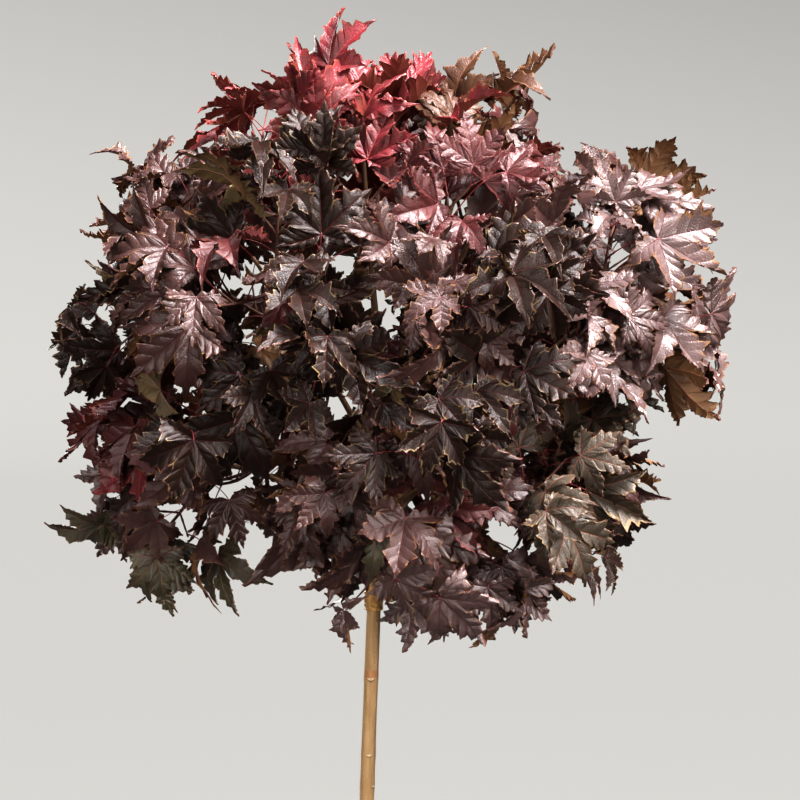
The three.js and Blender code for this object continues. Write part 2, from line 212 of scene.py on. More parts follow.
# Growth rule of the source, with the same repeatable streams of numbers.
def stream(*keys):
    state = SEED
    for key in keys:
        state = ((state ^ (key + 1)) * 0x9E3779B1) & MASK
        state ^= state >> 15

    def draw():
        nonlocal state
        state = (state + 0x6D2B79F5) & MASK
        mixed = ((state ^ (state >> 15)) * (1 | state)) & MASK
        mixed = ((mixed + (((mixed ^ (mixed >> 7)) * (61 | mixed)) & MASK)) & MASK) ^ mixed
        return (mixed ^ (mixed >> 14)) / 4294967296

    return draw


def between(draw, low_high):
    return low_high[0] + (low_high[1] - low_high[0]) * draw()


def spread(draw, size):
    return size * (2 * draw() - 1)


def jitter(draw, size):
    return np.array([spread(draw, size), spread(draw, size), spread(draw, size)])


def unit(v):
    return v / np.linalg.norm(v)


def lerp(a, b, t):
    return a + (b - a) * t


def direction(azimuth, elevation):
    turn, rise = math.radians(azimuth), math.radians(elevation)
    return np.array([math.cos(rise) * math.cos(turn), math.cos(rise) * math.sin(turn), math.sin(rise)])


def trunk_centre(height):
    rise = min(height / GRAFT_HEIGHT, 1.25)
    return np.array([STEM_LEAN * rise * (0.55 + 0.45 * rise), 0.0, height])


def callus_swelling(height, size):
    away = abs(height - GRAFT_HEIGHT) / CALLUS_HALF_HEIGHT
    return size * (1 - away * away) if away < 1 else 0.0


def trunk_radius(height):
    if height > GRAFT_HEIGHT:
        leader = lerp(LEADER_BASE_RADIUS, LEADER_TIP_RADIUS, (height - GRAFT_HEIGHT) / LEADER_LENGTH)
        return leader + callus_swelling(height, CALLUS_RADIUS - LEADER_BASE_RADIUS)
    stem = lerp(FOOT_RADIUS, STEM_RADIUS, height / GRAFT_HEIGHT)
    flare = max(0.0, 1 - height / FLARE_HEIGHT)
    return stem + (FLARE_RADIUS - stem) * flare**2.4 + callus_swelling(height, CALLUS_RADIUS - STEM_RADIUS)


class Mass:
    """One mass of leaves and the curved limb that feeds it."""

    def __init__(self, index, ring, i):
        self.index = index
        self.name = f"{ring['ring']}_{ring['sides'][i]}"
        self.top = ring["ring"] == "top"
        self.on_leader = self.top and ring["sides"][i] == "left"
        self.outward = direction(ring["azimuth"][i], ring["elevation"][i])
        self.reach = ring["reach"][i]
        self.radius = ring["limb_radius"]
        count = len(ring["sides"])
        order = (2 * i) % count + (1 if count % 2 == 0 and i >= count / 2 else 0)
        top = GRAFT_HEIGHT + LEADER_LENGTH
        foot = GRAFT_HEIGHT + ring["bough_height"] + ring["bough_step"] * order
        self.start = trunk_centre(top if self.on_leader else min(foot, top - 14))
        self.end = CROWN_MIDDLE + self.outward * self.reach
        self.bend = self.start * 0.52 + self.end * 0.48 + UP * ring["arch"]
        tip = 0.0 if self.on_leader else BOUGH_SHARE
        self.first = tip + GAP / np.linalg.norm(self.speed(tip))

    def at(self, t):
        return (1 - t) ** 2 * self.start + 2 * (1 - t) * t * self.bend + t * t * self.end

    def speed(self, t):
        return 2 * (self.bend - self.start) * (1 - t) + 2 * (self.end - self.bend) * t

    def slope(self, t):
        return unit(self.speed(t))

    def share_to_t(self, share):
        return self.first + (1 - self.first) * share

    def stem_place(self, share):
        run = min(math.floor(share * STEM_RINGS), STEM_RINGS - 1)
        ends = [self.at(self.share_to_t((run + k) / STEM_RINGS)) for k in (0, 1)]
        return lerp(ends[0], ends[1], share * STEM_RINGS - run)

    def stem_slope(self, share):
        return self.slope(self.share_to_t(share))

    def limb_radius(self, t):
        if self.on_leader:
            return lerp(LEADER_TIP_RADIUS, LIMB_TIP_RADIUS, t)
        return lerp(self.radius, LIMB_TIP_RADIUS, t)


def sideways(slope, quarter):
    across = unit(np.cross(slope, UP))
    over = np.cross(across, slope)
    return across * math.cos(quarter) + over * math.sin(quarter)


def twig_list(mass):
    twigs = []
    for node, share in enumerate(STEM_NODES):
        for hand in (1, -1):
            draw = stream(mass.index, 100 + len(twigs))
            slope = mass.stem_slope(share)
            side = sideways(slope, node * math.pi / 2 + spread(draw, 0.4)) * hand
            length = between(draw, TWIG_LENGTH) * (1.12 - 0.4 * share)
            aim = unit(slope * 0.62 + side * 0.85 + mass.outward * 0.2 + jitter(draw, 0.16))
            root = mass.stem_place(share)
            twigs.append({"key": len(twigs), "share": share, "root": root, "aim": aim, "length": length})
    return twigs


def twig_tip_corners(twig):
    aim = twig["aim"]
    reference = UP if abs(aim[2]) < 0.95 else np.array([1.0, 0.0, 0.0])
    across = unit(np.cross(aim, reference))
    over = np.cross(across, aim)
    end = twig["root"] + aim * twig["length"]
    turns = [2 * math.pi * k / 3 for k in range(3)]
    return [end + TWIG_RADIUS[1] * (across * math.sin(a) + over * math.cos(a)) for a in turns]


def pair(slots, key, root, slope, quarter, size, **where):
    for hand in (1, -1):
        side = sideways(slope, quarter) * hand
        slot = {"key": 10 * key + hand, "root": root, "slope": slope, "side": side, "size": size}
        slots.append({**slot, **where})


def leaf_slots(mass, twigs):
    slots = []
    for twig in twigs:
        for node, share in enumerate(TWIG_NODES):
            root = twig["root"] + twig["aim"] * ((twig["length"] - 2) * share)
            key, quarter = 10 * twig["key"] + node, node * math.pi / 2
            size = 1.04 - 0.1 * node
            pair(slots, key, root, twig["aim"], quarter, size, twig=twig, share=share)
    for node, share in enumerate(STEM_LEAF_NODES):
        quarter = node * math.pi / 2 + 0.5
        size = 1.06 - 0.2 * node
        root, slope = mass.stem_place(share), mass.stem_slope(share)
        pair(slots, 90 + node, root, slope, quarter, size, twig=None, share=share)
    return slots


def leaf_pose(mass, slot, attempt):
    draw = stream(mass.index, 1000 + slot["key"], attempt)
    length = between(draw, TOP_LEAF_LENGTH if mass.top else LEAF_LENGTH) * slot["size"]
    stalk = length * between(draw, STALK_SHARE)
    looseness = 0.24 + 0.09 * attempt
    stalk_aim = slot["side"] * 0.72 + slot["slope"] * 0.5 + mass.outward * 0.3 + UP * 0.18
    stalk_aim = unit(stalk_aim + jitter(draw, looseness))
    base = slot["root"] + stalk_aim * stalk
    outward = unit(base - CROWN_MIDDLE)
    turned = min(max(0.5 - outward[1], 0.0), 1.0)
    up_share = 0.1 if mass.top else 0.42
    facing = outward * 0.6 + UP * up_share + FRONT * (LIGHT_PULL * turned)
    facing = unit(facing + jitter(draw, looseness * 1.7))
    hang = -0.6 if mass.top else 0.5 - 0.2 * mass.outward[2]
    along = stalk_aim * 0.6 + outward * 0.3 - UP * hang + jitter(draw, looseness)
    along = unit(along - facing * (BLADE_TURN * np.dot(along, facing)))
    normal = unit(facing - along * np.dot(facing, along))
    return {
        "root": slot["root"],
        "base": base,
        "stalk": stalk,
        "along": along,
        "normal": normal,
        "across": np.cross(along, normal),
        "length": length,
        "droop": between(draw, (0.04, 0.3)),
        "crease": between(draw, (0.05, 0.13)),
        "fold": between(draw, (-0.06, 0.24)),
        "opening": between(draw, (0.86, 1.06)),
    }


def lobe_tips(pose):
    tips = []
    for angle, length in LOBES:
        turn = math.radians(angle * pose["opening"])
        lift = pose["fold"] * length * abs(math.sin(turn)) - pose["droop"] * length * length
        flat = -length * math.sin(turn) * pose["across"] + length * math.cos(turn) * pose["along"]
        tips.append(pose["base"] + pose["length"] * (flat + lift * pose["normal"]))
    return tips


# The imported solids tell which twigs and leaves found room: their corners are among the solid's points.
def corner_finder(node):
    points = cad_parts[node].data.vertices
    tree = kdtree.KDTree(len(points))
    for i, point in enumerate(points):
        tree.insert(point.co, i)
    tree.balance()

    def found(places):
        return sum(tree.find(Vector(p * MM))[2] < 5e-5 for p in places)

    return found


masses = []
for ring in RINGS:
    for i in range(len(ring["sides"])):
        masses.append(Mass(len(masses), ring, i))

leaves = []
for mass in masses:
    found = corner_finder(f"leaves_{mass.name}")
    mass.twigs = [twig for twig in twig_list(mass) if found(twig_tip_corners(twig))]
    for slot in leaf_slots(mass, mass.twigs):
        for attempt in range(LEAF_TRIES):
            pose = leaf_pose(mass, slot, attempt)
            if found(lobe_tips(pose)) >= 3:
                pose.update(mass=mass, slot=slot)
                leaves.append(pose)
                break


# Finer shoots: a short one at each side of a twig, with a pair of smaller leaves where there is room.
def leaf_samples(pose):
    spots = [pose["base"]]
    for tip in lobe_tips(pose):
        spots.append(tip)
        spots.append(lerp(pose["base"], tip, 0.55))
    return np.array(spots)


def seen_at(point):
    """Where a point seems to lie on the plane through the stem, looked at from the sight point."""
    share = SIGHT_POINT[1] / (SIGHT_POINT[1] - point[1])
    return Vector(lerp(SIGHT_POINT, point, share))


def covers_gap(pose):
    base = seen_at(pose["base"])
    tips = [seen_at(tip) for tip in lobe_tips(pose)]
    for x, z, radius in SKY_GAPS:
        middle = Vector((x, 0, z))
        for left, right in zip(tips, tips[1:]):
            if (geometry.closest_point_on_tri(middle, base, left, right) - middle).length < radius:
                return True
    return False


def shoot_list(mass):
    shoots = []
    for twig in mass.twigs:
        for node, share in enumerate(SHOOT_NODES):
            for hand in (1, -1):
                key = 100 * twig["key"] + 10 * node + hand
                draw = stream(mass.index, 5000 + key)
                side = sideways(twig["aim"], 0.8 + node * math.pi / 2) * hand
                aim = unit(twig["aim"] * 0.55 + side * 0.75 + mass.outward * 0.15 + jitter(draw, 0.2))
                root = twig["root"] + twig["aim"] * (twig["length"] * share)
                length = between(draw, SHOOT_LENGTH)
                shoot = {"key": key, "twig": twig, "share": share, "root": root, "aim": aim}
                shoots.append({**shoot, "length": length})
    return shoots


taken = np.concatenate([leaf_samples(pose) for pose in leaves])
low_edge = np.append(np.array(cad_low)[:2] / MM, taken[:, 2].min())
high_edge = np.array(cad_high) / MM
for mass in masses:
    mass.shoots = []
    for shoot in shoot_list(mass):
        tip = shoot["root"] + shoot["aim"] * (shoot["length"] - 1)
        bears = False
        slots = []
        pair(slots, 300 + shoot["key"], tip, shoot["aim"], 0.4, 1.0, twig=shoot, share=1.0)
        for slot in slots:
            slot["size"] = between(stream(mass.index, 6000 + slot["key"]), SHOOT_LEAF_SIZE)
            for attempt in range(2, 6):
                pose = leaf_pose(mass, slot, attempt)
                spots = leaf_samples(pose)
                apart = np.linalg.norm(taken[:, None] - spots[None], axis=2).min()
                inside = (spots > low_edge).all() and (spots < high_edge).all()
                own = np.dot(unit(spots.mean(axis=0) - CROWN_MIDDLE), mass.outward)
                if apart > ROOM and inside and own > 0.4 and not covers_gap(pose):
                    pose.update(mass=mass, slot=slot)
                    leaves.append(pose)
                    taken = np.concatenate([taken, spots])
                    bears = True
                    break
        if bears:
            mass.shoots.append(shoot)


# Leaf net: a flat five-lobed outline with a toothed margin, cut into vein strips, blade and rim.
class LeafNet:
    def __init__(self, number):
        self.draw = stream(7000 + number)
        self.facts = []
        self.index = {}
        self.faces = {"vein": [], "blade": [], "rim": [], "under": [], "under_vein": []}
        for lobe, (angle, length) in enumerate(LOBES):
            self.add_lobe(lobe, math.radians(angle), length)
        self.facts = np.array(self.facts)
        for kind, rows in self.faces.items():
            used, ends = np.unique(np.array(rows), return_inverse=True)
            self.faces[kind] = (used, ends.reshape(-1, 3))

    def corner(self, lobe, place, side, strip, column, margin, sign, edge=0.0, ripple=0.0):
        """One point of the net, from its places along and beside the lobe's vein.

        Strips between two side veins have points of their own, so that the veins stay sharp valleys.
        """
        turn, length = math.radians(LOBES[lobe][0]), LOBES[lobe][1]
        forward, beside = place
        u = -forward * math.sin(turn) - side * beside * math.cos(turn)
        v = forward * math.cos(turn) - side * beside * math.sin(turn)
        key = (round(u, 5), round(v, 5), lobe, side, strip)
        if key not in self.index:
            self.index[key] = len(self.facts)
            polar = (math.hypot(u, v), math.atan2(-u, v))
            reach = forward / length
            self.facts.append((*polar, beside, side, column, margin, sign, lobe, reach, edge, ripple))
        return self.index[key]

    def half_outline(self, turn, length, notch):
        gap = abs(math.radians(notch[0]) - turn)
        start = notch[1] * np.array([math.cos(gap), math.sin(gap)])
        outer = [start * row / INNER_ROWS for row in range(INNER_ROWS)]
        for share, width in MARGIN:
            loose = 1.0 if 0 < share < 1 else 0.0
            forward = share + loose * spread(self.draw, 0.03)
            across = width * (1 + loose * spread(self.draw, 0.18))
            outer.append(np.array([lerp(start[0], length, forward), start[1] * across]))
        return np.array(outer)

    def add_lobe(self, lobe, turn, length):
        halves = [self.half_outline(turn, length, NOTCHES[lobe + k]) for k in (0, 1)]
        rows = len(halves[0])
        slant = [0.65 * np.maximum(0, outer[:, 0] - 0.9 * outer[:, 1]) for outer in halves]
        vein = sum(slant) / 2 + 0.35 * length * np.arange(rows) / (rows - 1)
        for side, outer in zip((1, -1), halves):
            self.add_half(lobe, length, side, vein, outer)

    def add_half(self, lobe, length, side, vein, outer):
        rows = len(outer)
        widths = np.hypot(outer[:, 0] - vein, outer[:, 1])
        margins = np.maximum(0, np.arange(rows) - INNER_ROWS) / (rows - 1 - INNER_ROWS)

        def line(row, strip):
            half_vein = VEIN_WIDTH * (1 - 0.75 * vein[row] / length)
            first = min(0.3, half_vein / max(widths[row], 1e-6))
            sign = -1.0 if row % 2 else 1.0
            spots = []
            for column in (0.0, first, 0.48, RIM_START, 1.0):
                place = (lerp(vein[row], outer[row, 0], column), column * outer[row, 1])
                edge = 1.0 if column == 1.0 and row >= INNER_ROWS else 0.0
                spots.append(self.corner(lobe, place, side, strip, column, margins[row], sign, edge))
            return spots

        for row in range(rows - 1):
            strip = (row + 1) // 2
            near, far = line(row, strip), line(row + 1, strip)
            for k in range(4):
                a, b, c, d = near[k], far[k], far[k + 1], near[k + 1]
                if k == 3 and row >= INNER_ROWS:
                    margin = (margins[row] + margins[row + 1]) / 2
                    width = (1 - RIM_START) * min(widths[row : row + 2])
                    low, high = self.fine_tooth(lobe, side, strip, outer[row : row + 2], margin, width)
                    self.add_faces("rim", side, [(a, low, d), (a, b, low), (b, high, low), (b, c, high)])
                else:
                    self.add_faces("vein" if k == 0 else "blade", side, [(a, b, c), (a, c, d)])
            for k, m in ((1, 2), (2, 4)):
                self.add_faces("under", side, [(near[k], far[k], far[m]), (near[k], far[m], near[m])])
            if row % 2:
                first = line(row - 1, strip - 1)
                faces = [(first[0], far[0], far[1]), (first[0], far[1], first[1])]
                self.add_faces("under_vein", side, faces)

    def fine_tooth(self, lobe, side, strip, ends, margin, width):
        """A dent and a tooth in the margin between two rows."""
        run = ends[1] - ends[0]
        outward = np.array([-run[1], run[0]]) / max(np.hypot(*run), 1e-6)
        depth = min(between(self.draw, (0.004, 0.012)), 0.6 * width)
        size = between(self.draw, (0.006, 0.024)) * (1 - 0.5 * margin)
        spots = (ends[0] + 0.36 * run - depth * outward, ends[0] + 0.72 * run + size * outward)
        ripples = (spread(self.draw, 0.012), spread(self.draw, 0.022))
        return [
            self.corner(lobe, spot, side, strip, 1.0, margin, 0.0, 1.0, ripple)
            for spot, ripple in zip(spots, ripples)
        ]

    def add_faces(self, kind, side, faces):
        for face in faces:
            if len(set(face)) == 3:
                self.faces[kind].append(face[::side])


def leaf_surfaces(net, pose, number):
    """Upper and lower points of one leaf: each lobe a trough, pleated between side veins, drooping."""
    rho, theta, beside, side, column, margin, sign, lobe, reach, edge, ripple = net.facts.T
    draw = stream(8000 + number)
    turn = theta * pose["opening"]
    bend = np.array([between(draw, LOBE_BEND) for _ in LOBES])[lobe.astype(int)]
    twist = np.array([spread(draw, LOBE_TWIST) for _ in LOBES])[lobe.astype(int)]
    trough = pose["crease"] * between(draw, LOBE_TROUGH)
    pleat = between(draw, PLEAT_DEPTH)
    curl = between(draw, MARGIN_CURL)
    wave, phase = between(draw, MARGIN_WAVE), spread(draw, 3.1)
    inner = margin == 0
    window = np.where(inner, np.sin(np.pi * column), column**0.7) * np.minimum(1, rho / 0.2)
    lift = pose["fold"] * np.abs(np.sin(turn)) * rho - pose["droop"] * rho**2
    lift += trough * beside
    lift += bend * np.maximum(0, reach - 0.4) ** 2
    lift += twist * side * beside * np.maximum(0, reach - 0.25)
    lift += pleat * sign * window * (0.4 + 0.6 * rho)
    lift += curl * np.maximum(0, column - 0.5) ** 2 * np.where(inner, 0, 1) * 2
    lift += wave * np.sin(6 * theta + phase) * rho * column
    lift += ripple
    vein = (column == 0) * (1 - 0.8 * reach)
    flat = np.outer(-rho * np.sin(turn), pose["across"]) + np.outer(rho * np.cos(turn), pose["along"])
    middle = pose["base"] + pose["length"] * (flat + np.outer(lift, pose["normal"]))
    upper = middle + np.outer(-VEIN_SINK * vein, pose["normal"])
    lower = middle - np.outer(LEAF_THICKNESS * (1 - edge) + VEIN_RIDGE * vein, pose["normal"])
    return upper, lower


# Forms gathered into one joined mesh.
class Gather:
    def __init__(self):
        self.points = []
        self.faces = []
        self.cells = []
        self.count = 0

    def add(self, points, faces, cell=None):
        self.points.append(points)
        self.faces.append(np.asarray(faces) + self.count)
        self.count += len(points)
        if cell is not None:
            self.cells.append(cell)


def joined_mesh(name, gather, material, nodes):
    points = np.concatenate(gather.points) * MM
    faces = np.concatenate(gather.faces).astype(np.int32)
    mesh = bpy.data.meshes.new(name)
    mesh.vertices.add(len(points))
    mesh.vertices.foreach_set("co", points.astype(np.float32).ravel())
    mesh.loops.add(faces.size)
    mesh.loops.foreach_set("vertex_index", faces.ravel())
    mesh.polygons.add(len(faces))
    mesh.polygons.foreach_set("loop_start", np.arange(0, faces.size, 3, dtype=np.int32))
    mesh.update(calc_edges=True)
    mesh.shade_smooth()
    mesh.materials.append(material)
    if gather.cells:
        side = math.ceil(math.sqrt(len(gather.cells)))
        spots = []
        for i, cell in enumerate(gather.cells):
            spots.append((np.array([i % side, i // side]) + 0.5 + 0.46 * cell) / side)
        uv = np.concatenate(spots)[faces.ravel()]
        mesh.uv_layers.new(name="OFBake").data.foreach_set("uv", uv.astype(np.float32).ravel())
    piece = bpy.data.objects.new(name, mesh)
    scene.collection.objects.link(piece)
    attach(piece, "root")
    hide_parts(*nodes)


def side_faces(rows, sides):
    """Triangles between the given rows of a round form and the next ones."""
    faces = []
    for row in rows:
        for k in range(sides):
            a, b = row * sides + k, row * sides + (k + 1) % sides
            faces += [(a, b, b + sides), (a, b + sides, a + sides)]
    return faces


def fan_faces(middle, row, sides, way=1):
    """Triangles from a middle point to a row of a round form."""
    return [(middle, row * sides + k, row * sides + (k + 1) % sides)[::way] for k in range(sides)]


# Round limbs: rings carried along a path without twisting.
def limb(path, radii, sides, relief=None):
    path = np.asarray(path)
    slopes = np.gradient(path, axis=0)
    slopes /= np.linalg.norm(slopes, axis=1)[:, None]
    reference = UP if abs(slopes[0][2]) < 0.95 else np.array([1.0, 0.0, 0.0])
    across = unit(np.cross(slopes[0], reference))
    turns = 2 * np.pi * np.arange(sides) / sides
    rings = []
    for place, slope, radius in zip(path, slopes, radii):
        across = unit(across - slope * np.dot(across, slope))
        over = np.cross(slope, across)
        size = radius + (relief(len(rings), turns) if relief else 0.0)
        ring = np.outer(size * np.cos(turns), across)
        rings.append(place + ring + np.outer(size * np.sin(turns), over))
    points = np.concatenate(rings + [path[:1], path[-1:]])
    last = len(path) - 1
    ends = fan_faces(len(points) - 2, 0, sides, -1) + fan_faces(len(points) - 1, last, sides)
    return points, np.array(side_faces(range(last), sides) + ends)


# Stem: rings left by each year's buds, pale bud scars beside them, and the crumbly callus of the graft.
def stem_loft():
    foot, stem = np.arange(0, 80, 2.5), np.arange(80, GRAFT_HEIGHT - 30, 3.0)
    graft = np.arange(GRAFT_HEIGHT - 30, GRAFT_HEIGHT + 30, 1.25)
    leader = np.linspace(GRAFT_HEIGHT + 30, GRAFT_HEIGHT + LEADER_LENGTH, 60)
    heights = np.concatenate([foot, stem, graft, leader])
    draw = stream(42)
    turns = 2 * np.pi * np.arange(STEM_SIDES) / STEM_SIDES
    angle, height = np.meshgrid(turns, heights)
    radius = np.repeat([[trunk_radius(h)] for h in heights], STEM_SIDES, axis=1)
    for _ in range(9):
        count = 3 + int(draw() * 13)
        radius += 0.075 * np.sin(count * angle + spread(draw, 0.05) * height + 6.3 * draw())
    for node in STEM_RING_HEIGHTS:
        above = height - node
        radius += RING_SWELLING * np.exp(-((above / RING_HALF_HEIGHT) ** 2))
        radius -= GROOVE_DEPTH * np.exp(-(((above - GROOVE_OFFSET) / GROOVE_HALF_HEIGHT) ** 2))
    crumbs = np.random.default_rng(SEED).random(angle.shape)
    crumbs = (crumbs + np.roll(crumbs, 1, axis=1) + np.roll(crumbs, 1, axis=0)) / 3
    away = np.minimum(1, np.abs(height - GRAFT_HEIGHT) / (CALLUS_HALF_HEIGHT + 3))
    lumps = np.sin(4 * angle + 0.35 * height) * np.sin(3 * angle - 0.5 * height)
    radius += (1 - away**2) * (3.4 * (crumbs - 0.5) + 1.1 * lumps)
    centres = np.array([trunk_centre(h) for h in heights])
    around = [radius * np.cos(angle), radius * np.sin(angle), 0 * radius]
    points = centres[:, None] + np.stack(around, axis=2)
    points = np.concatenate([points.reshape(-1, 3), centres[:1], centres[-1:]])
    kinds = {"bark": [], "ring": [], "callus": []}
    rows = len(heights)
    for row in range(rows - 1):
        middle = (heights[row] + heights[row + 1]) / 2
        ringed = BROWN_RING[0] < middle < BROWN_RING[1]
        grafted = abs(middle - GRAFT_HEIGHT) < CALLUS_HALF_HEIGHT
        kind = "callus" if grafted else "ring" if ringed else "bark"
        kinds[kind] += side_faces([row], STEM_SIDES)
    kinds["bark"] += fan_faces(len(points) - 2, 0, STEM_SIDES, -1)
    kinds["bark"] += fan_faces(len(points) - 1, rows - 1, STEM_SIDES)
    return points, kinds


def graft_crumb(number):
    """One curled flake of callus that stands off the graft."""
    draw = stream(43, number)
    height = GRAFT_HEIGHT + spread(draw, CALLUS_HALF_HEIGHT - 1)
    azimuth = 360 * draw()
    root = trunk_centre(height) + direction(azimuth, 0) * (trunk_radius(height) - 1.6)
    length = between(draw, (2.2, 4.4))
    curl = unit(jitter(draw, 1.0)) * length * between(draw, (0.2, 0.7))
    shares = np.linspace(0, 1, 4)
    aim = direction(azimuth, spread(draw, 55))
    path = root + np.outer(shares * length, aim) + np.outer(shares**2, curl)
    return limb(path, np.array([1.3, 1.1, 0.8, 0.3]) * between(draw, (0.6, 1.1)), 5)


def only_used(points, faces):
    used, ends = np.unique(np.array(faces), return_inverse=True)
    return points[used], ends.reshape(-1, 3)


def bud_scar(height, azimuth, half_width, rise):
    """A lens-shaped swelling on the stem, curved down like an eyelid."""
    outward = direction(azimuth, 0)
    sideward = np.cross(UP, outward)
    middle = trunk_centre(height) + outward * (trunk_radius(height) + 0.1)
    turns = 2 * np.pi * np.arange(SCAR_SIDES) / SCAR_SIDES
    rings = []
    for share in (1.0, 0.8, 0.5, 0.2):
        wide = share * half_width * np.cos(turns)
        tall = 0.42 * share * half_width * np.sin(turns) * (1 - 0.3 * np.cos(turns) ** 2) + wide**2 / 16
        inward = wide**2 / (2 * trunk_radius(height))
        out = rise * (1 - share**2) - inward
        rings.append(middle + np.outer(wide, sideward) + np.outer(tall, UP) + np.outer(out, outward))
    points = np.concatenate(rings + [[middle + rise * outward]])
    last = len(rings) - 1
    crest = fan_faces(len(points) - 1, last, SCAR_SIDES)
    return points, np.array(side_faces(range(last), SCAR_SIDES) + crest)


# Boughs run on as the stems of their masses; twigs, shoots and stalks leave them in smooth bends.
def bough_form(mass):
    shares = np.linspace(0, 1, 46)
    path = np.array([mass.at(t) for t in shares])
    if mass.on_leader:
        path[0] -= UP * 6
    run = np.concatenate([[0], np.cumsum(np.linalg.norm(np.diff(path, axis=0), axis=1))])
    radii = np.array([mass.limb_radius(t) for t in shares])
    if not mass.on_leader:
        radii = radii * (1 + 0.5 * np.exp(-np.maximum(0, run - 7) / 9))
    for share in STEM_NODES + STEM_LEAF_NODES:
        knot = np.interp(mass.share_to_t(share), shares, run)
        radii = radii + 0.7 * np.exp(-(((run - knot) / 5) ** 2))
    draw = stream(mass.index, 77)
    waves = [(2 + int(draw() * 5), spread(draw, 0.35), 6.3 * draw()) for _ in range(6)]

    def relief(ring, turns):
        return sum(0.07 * np.sin(n * turns + f * run[ring] + phase) for n, f, phase in waves)

    return limb(path, radii, 12, relief)


def twig_place(mass, twig, share):
    if "twig" in twig:
        start = twig_place(mass, twig["twig"], twig["share"])
    else:
        start = mass.at(mass.share_to_t(twig["share"]))
    straight = twig["root"] + twig["aim"] * (twig["length"] * share)
    sag = 0.05 * twig["length"] * 4 * share * (1 - share)
    return straight + (start - twig["root"]) * (1 - share) ** 3 - UP * sag


def twig_form(mass, twig, radius):
    shares = np.linspace(0, 1, 12)
    path = [twig_place(mass, twig, s) for s in shares]
    radii = lerp(radius[0], radius[1], shares)
    for node in TWIG_NODES[:-1]:
        radii = radii + 0.45 * np.exp(-(((shares - node) / 0.035) ** 2))
    return limb(path, radii, 6)


def bud_form(mass, twig, size):
    tip = twig_place(mass, twig, 0.99)
    aim = unit(tip - twig_place(mass, twig, 0.9))
    shares = np.array([0, 0.25, 0.55, 0.85, 1.0])
    girth = np.array([0.6, 1.0, 0.9, 0.4, 0.06])
    return limb(tip + np.outer(shares * size * 3.4, aim), girth * size, 6)


def stalk_form(pose):
    mass, slot = pose["mass"], pose["slot"]
    if slot["twig"] is None:
        start = mass.at(mass.share_to_t(slot["share"]))
    else:
        start = twig_place(mass, slot["twig"], slot["share"])
    shares = np.linspace(0, 1, 7)
    straight = pose["root"] + np.outer(shares, pose["base"] - pose["root"])
    bow = 0.07 * pose["stalk"] * 4 * shares * (1 - shares)
    swerve = np.outer((1 - shares) ** 3, start - pose["root"])
    path = straight + swerve + np.outer(bow, UP * 0.8 - pose["along"] * 0.4)
    under = pose["base"] + pose["along"] * 0.05 * pose["length"] - pose["normal"] * 1.2
    path = np.concatenate([path, [under]])
    radii = np.array([1.5, 0.95, 0.82, 0.78, 0.78, 0.82, 0.95, 0.5]) * pose["length"] / 95
    return limb(path, radii, 5)


# Surface effects shared by several materials.
def new_group(name, inputs, outputs):
    group = bpy.data.node_groups.new(name, "ShaderNodeTree")
    for label, kind in inputs:
        group.interface.new_socket(label, in_out="INPUT", socket_type=kind)
    for label, kind in outputs:
        group.interface.new_socket(label, in_out="OUTPUT", socket_type=kind)
    return group, group.nodes.new("NodeGroupInput"), group.nodes.new("NodeGroupOutput")


COLOUR = "NodeSocketColor"
VALUE = "NodeSocketFloat"


def noise_node(group, vector, scale, detail=3.0):
    node = group.nodes.new("ShaderNodeTexNoise")
    node.inputs["Scale"].default_value = scale
    node.inputs["Detail"].default_value = detail
    group.links.new(vector, node.inputs["Vector"])
    return node.outputs["Fac"]


def spread_node(group, value, low, high, to_low, to_high):
    node = group.nodes.new("ShaderNodeMapRange")
    for label, number in zip(("From Min", "From Max", "To Min", "To Max"), (low, high, to_low, to_high)):
        node.inputs[label].default_value = number
    group.links.new(value, node.inputs["Value"])
    return node.outputs["Result"]


def mix_node(group, factor, first, second):
    node = group.nodes.new("ShaderNodeMix")
    node.data_type = "RGBA"
    group.links.new(factor, node.inputs["Factor"])
    group.links.new(first, node.inputs["A"])
    group.links.new(second, node.inputs["B"])
    return node.outputs["Result"]


def leaf_tissue_group():
    """Soft colour patches, a fine net of veins and an uneven waxy gloss."""
    group, inputs, outputs = new_group(
        "leaf_tissue",
        [("Ground", COLOUR), ("Patch", COLOUR)],
        [("Colour", COLOUR), ("Roughness", VALUE), ("Height", VALUE)],
    )
    place = group.nodes.new("ShaderNodeTexCoord").outputs["Object"]
    patch = spread_node(group, noise_node(group, place, 30), 0.38, 0.64, 0.0, 1.0)
    colour = mix_node(group, patch, inputs.outputs["Ground"], inputs.outputs["Patch"])
    group.links.new(colour, outputs.inputs["Colour"])
    gloss = spread_node(group, noise_node(group, place, 70), 0.3, 0.7, 0.29, 0.47)
    group.links.new(gloss, outputs.inputs["Roughness"])
    net = group.nodes.new("ShaderNodeTexVoronoi")
    net.feature = "DISTANCE_TO_EDGE"
    net.inputs["Scale"].default_value = 300
    group.links.new(place, net.inputs["Vector"])
    height = spread_node(group, net.outputs["Distance"], 0.0, 0.22, 0.0, 1.0)
    group.links.new(height, outputs.inputs["Height"])
    return group


